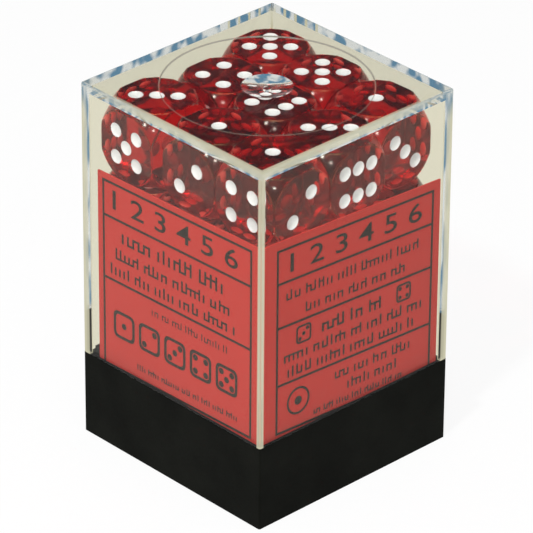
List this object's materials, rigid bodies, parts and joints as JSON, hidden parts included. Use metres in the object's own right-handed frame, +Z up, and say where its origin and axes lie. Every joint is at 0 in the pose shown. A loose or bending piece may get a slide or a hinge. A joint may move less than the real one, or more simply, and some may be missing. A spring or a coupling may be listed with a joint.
{
  "type": "dice block in a clear display box",
  "caption": "Square clear plastic box on a black tray, packed with loose translucent red six-sided dice and a folded printed card.",
  "frame": {"origin": "middle of the tray's underside", "axes": "+Z up along the box's height; the card stands against the -X and -Y walls"},
  "size_m": [0.0414, 0.0414, 0.064],
  "materials": {
    "black_tray": "moulded black polystyrene, satin",
    "clear_cover": "clear moulded polystyrene, polished",
    "printed_card": "coral card with dark print, uncoated",
    "red_die": "translucent red acrylic, polished, white painted pips"
  },
  "bodies": {
    "tray": {"base_tray": "black_tray"},
    "cover": {"clear_cover": "clear_cover"},
    "card": {"label_card": "printed_card"},
    "die_111": {"die_layer1_column1_row1": "red_die"},
    "die_112": {"die_layer1_column1_row2": "red_die"},
    "die_113": {"die_layer1_column1_row3": "red_die"},
    "die_121": {"die_layer1_column2_row1": "red_die"},
    "die_122": {"die_layer1_column2_row2": "red_die"},
    "die_123": {"die_layer1_column2_row3": "red_die"},
    "die_131": {"die_layer1_column3_row1": "red_die"},
    "die_132": {"die_layer1_column3_row2": "red_die"},
    "die_133": {"die_layer1_column3_row3": "red_die"},
    "die_211": {"die_layer2_column1_row1": "red_die"},
    "die_212": {"die_layer2_column1_row2": "red_die"},
    "die_213": {"die_layer2_column1_row3": "red_die"},
    "die_221": {"die_layer2_column2_row1": "red_die"},
    "die_222": {"die_layer2_column2_row2": "red_die"},
    "die_223": {"die_layer2_column2_row3": "red_die"},
    "die_231": {"die_layer2_column3_row1": "red_die"},
    "die_232": {"die_layer2_column3_row2": "red_die"},
    "die_233": {"die_layer2_column3_row3": "red_die"},
    "die_311": {"die_layer3_column1_row1": "red_die"},
    "die_312": {"die_layer3_column1_row2": "red_die"},
    "die_313": {"die_layer3_column1_row3": "red_die"},
    "die_321": {"die_layer3_column2_row1": "red_die"},
    "die_322": {"die_layer3_column2_row2": "red_die"},
    "die_323": {"die_layer3_column2_row3": "red_die"},
    "die_331": {"die_layer3_column3_row1": "red_die"},
    "die_332": {"die_layer3_column3_row2": "red_die"},
    "die_333": {"die_layer3_column3_row3": "red_die"},
    "die_411": {"die_layer4_column1_row1": "red_die"},
    "die_412": {"die_layer4_column1_row2": "red_die"},
    "die_413": {"die_layer4_column1_row3": "red_die"},
    "die_421": {"die_layer4_column2_row1": "red_die"},
    "die_422": {"die_layer4_column2_row2": "red_die"},
    "die_423": {"die_layer4_column2_row3": "red_die"},
    "die_431": {"die_layer4_column3_row1": "red_die"},
    "die_432": {"die_layer4_column3_row2": "red_die"},
    "die_433": {"die_layer4_column3_row3": "red_die"}
  },
  "joints": [
    {"name": "cover_lift", "type": "slide", "parent": "tray", "child": "cover", "axis": [0, 0, 1], "range_m": [0, 0.1]},
    {"name": "card_lift", "type": "slide", "parent": "tray", "child": "card", "axis": [0, 0, 1], "range_m": [0, 0.03]},
    {"name": "die_111_lift", "type": "slide", "parent": "tray", "child": "die_111", "axis": [0, 0, 1], "range_m": [0, 0.014]},
    {"name": "die_112_lift", "type": "slide", "parent": "tray", "child": "die_112", "axis": [0, 0, 1], "range_m": [0, 0.014]},
    {"name": "die_113_lift", "type": "slide", "parent": "tray", "child": "die_113", "axis": [0, 0, 1], "range_m": [0, 0.014]},
    {"name": "die_121_lift", "type": "slide", "parent": "tray", "child": "die_121", "axis": [0, 0, 1], "range_m": [0, 0.014]},
    {"name": "die_122_lift", "type": "slide", "parent": "tray", "child": "die_122", "axis": [0, 0, 1], "range_m": [0, 0.014]},
    {"name": "die_123_lift", "type": "slide", "parent": "tray", "child": "die_123", "axis": [0, 0, 1], "range_m": [0, 0.014]},
    {"name": "die_131_lift", "type": "slide", "parent": "tray", "child": "die_131", "axis": [0, 0, 1], "range_m": [0, 0.014]},
    {"name": "die_132_lift", "type": "slide", "parent": "tray", "child": "die_132", "axis": [0, 0, 1], "range_m": [0, 0.014]},
    {"name": "die_133_lift", "type": "slide", "parent": "tray", "child": "die_133", "axis": [0, 0, 1], "range_m": [0, 0.014]},
    {"name": "die_211_lift", "type": "slide", "parent": "tray", "child": "die_211", "axis": [0, 0, 1], "range_m": [0, 0.026]},
    {"name": "die_212_lift", "type": "slide", "parent": "tray", "child": "die_212", "axis": [0, 0, 1], "range_m": [0, 0.026]},
    {"name": "die_213_lift", "type": "slide", "parent": "tray", "child": "die_213", "axis": [0, 0, 1], "range_m": [0, 0.026]},
    {"name": "die_221_lift", "type": "slide", "parent": "tray", "child": "die_221", "axis": [0, 0, 1], "range_m": [0, 0.026]},
    {"name": "die_222_lift", "type": "slide", "parent": "tray", "child": "die_222", "axis": [0, 0, 1], "range_m": [0, 0.026]},
    {"name": "die_223_lift", "type": "slide", "parent": "tray", "child": "die_223", "axis": [0, 0, 1], "range_m": [0, 0.026]},
    {"name": "die_231_lift", "type": "slide", "parent": "tray", "child": "die_231", "axis": [0, 0, 1], "range_m": [0, 0.026]},
    {"name": "die_232_lift", "type": "slide", "parent": "tray", "child": "die_232", "axis": [0, 0, 1], "range_m": [0, 0.026]},
    {"name": "die_233_lift", "type": "slide", "parent": "tray", "child": "die_233", "axis": [0, 0, 1], "range_m": [0, 0.026]},
    {"name": "die_311_lift", "type": "slide", "parent": "tray", "child": "die_311", "axis": [0, 0, 1], "range_m": [0, 0.038]},
    {"name": "die_312_lift", "type": "slide", "parent": "tray", "child": "die_312", "axis": [0, 0, 1], "range_m": [0, 0.038]},
    {"name": "die_313_lift", "type": "slide", "parent": "tray", "child": "die_313", "axis": [0, 0, 1], "range_m": [0, 0.038]},
    {"name": "die_321_lift", "type": "slide", "parent": "tray", "child": "die_321", "axis": [0, 0, 1], "range_m": [0, 0.038]},
    {"name": "die_322_lift", "type": "slide", "parent": "tray", "child": "die_322", "axis": [0, 0, 1], "range_m": [0, 0.038]},
    {"name": "die_323_lift", "type": "slide", "parent": "tray", "child": "die_323", "axis": [0, 0, 1], "range_m": [0, 0.038]},
    {"name": "die_331_lift", "type": "slide", "parent": "tray", "child": "die_331", "axis": [0, 0, 1], "range_m": [0, 0.038]},
    {"name": "die_332_lift", "type": "slide", "parent": "tray", "child": "die_332", "axis": [0, 0, 1], "range_m": [0, 0.038]},
    {"name": "die_333_lift", "type": "slide", "parent": "tray", "child": "die_333", "axis": [0, 0, 1], "range_m": [0, 0.038]},
    {"name": "die_411_lift", "type": "slide", "parent": "tray", "child": "die_411", "axis": [0, 0, 1], "range_m": [0, 0.05]},
    {"name": "die_412_lift", "type": "slide", "parent": "tray", "child": "die_412", "axis": [0, 0, 1], "range_m": [0, 0.05]},
    {"name": "die_413_lift", "type": "slide", "parent": "tray", "child": "die_413", "axis": [0, 0, 1], "range_m": [0, 0.05]},
    {"name": "die_421_lift", "type": "slide", "parent": "tray", "child": "die_421", "axis": [0, 0, 1], "range_m": [0, 0.05]},
    {"name": "die_422_lift", "type": "slide", "parent": "tray", "child": "die_422", "axis": [0, 0, 1], "range_m": [0, 0.05]},
    {"name": "die_423_lift", "type": "slide", "parent": "tray", "child": "die_423", "axis": [0, 0, 1], "range_m": [0, 0.05]},
    {"name": "die_431_lift", "type": "slide", "parent": "tray", "child": "die_431", "axis": [0, 0, 1], "range_m": [0, 0.05]},
    {"name": "die_432_lift", "type": "slide", "parent": "tray", "child": "die_432", "axis": [0, 0, 1], "range_m": [0, 0.05]},
    {"name": "die_433_lift", "type": "slide", "parent": "tray", "child": "die_433", "axis": [0, 0, 1], "range_m": [0, 0.05]}
  ],
  "couplings": [
    {"joint": "card_lift", "follows": "cover_lift", "ratio": 0.3},
    {"joint": "die_111_lift", "follows": "cover_lift", "ratio": 0.14},
    {"joint": "die_112_lift", "follows": "cover_lift", "ratio": 0.14},
    {"joint": "die_113_lift", "follows": "cover_lift", "ratio": 0.14},
    {"joint": "die_121_lift", "follows": "cover_lift", "ratio": 0.14},
    {"joint": "die_122_lift", "follows": "cover_lift", "ratio": 0.14},
    {"joint": "die_123_lift", "follows": "cover_lift", "ratio": 0.14},
    {"joint": "die_131_lift", "follows": "cover_lift", "ratio": 0.14},
    {"joint": "die_132_lift", "follows": "cover_lift", "ratio": 0.14},
    {"joint": "die_133_lift", "follows": "cover_lift", "ratio": 0.14},
    {"joint": "die_211_lift", "follows": "cover_lift", "ratio": 0.26},
    {"joint": "die_212_lift", "follows": "cover_lift", "ratio": 0.26},
    {"joint": "die_213_lift", "follows": "cover_lift", "ratio": 0.26},
    {"joint": "die_221_lift", "follows": "cover_lift", "ratio": 0.26},
    {"joint": "die_222_lift", "follows": "cover_lift", "ratio": 0.26},
    {"joint": "die_223_lift", "follows": "cover_lift", "ratio": 0.26},
    {"joint": "die_231_lift", "follows": "cover_lift", "ratio": 0.26},
    {"joint": "die_232_lift", "follows": "cover_lift", "ratio": 0.26},
    {"joint": "die_233_lift", "follows": "cover_lift", "ratio": 0.26},
    {"joint": "die_311_lift", "follows": "cover_lift", "ratio": 0.38},
    {"joint": "die_312_lift", "follows": "cover_lift", "ratio": 0.38},
    {"joint": "die_313_lift", "follows": "cover_lift", "ratio": 0.38},
    {"joint": "die_321_lift", "follows": "cover_lift", "ratio": 0.38},
    {"joint": "die_322_lift", "follows": "cover_lift", "ratio": 0.38},
    {"joint": "die_323_lift", "follows": "cover_lift", "ratio": 0.38},
    {"joint": "die_331_lift", "follows": "cover_lift", "ratio": 0.38},
    {"joint": "die_332_lift", "follows": "cover_lift", "ratio": 0.38},
    {"joint": "die_333_lift", "follows": "cover_lift", "ratio": 0.38},
    {"joint": "die_411_lift", "follows": "cover_lift", "ratio": 0.5},
    {"joint": "die_412_lift", "follows": "cover_lift", "ratio": 0.5},
    {"joint": "die_413_lift", "follows": "cover_lift", "ratio": 0.5},
    {"joint": "die_421_lift", "follows": "cover_lift", "ratio": 0.5},
    {"joint": "die_422_lift", "follows": "cover_lift", "ratio": 0.5},
    {"joint": "die_423_lift", "follows": "cover_lift", "ratio": 0.5},
    {"joint": "die_431_lift", "follows": "cover_lift", "ratio": 0.5},
    {"joint": "die_432_lift", "follows": "cover_lift", "ratio": 0.5},
    {"joint": "die_433_lift", "follows": "cover_lift", "ratio": 0.5}
  ]
}
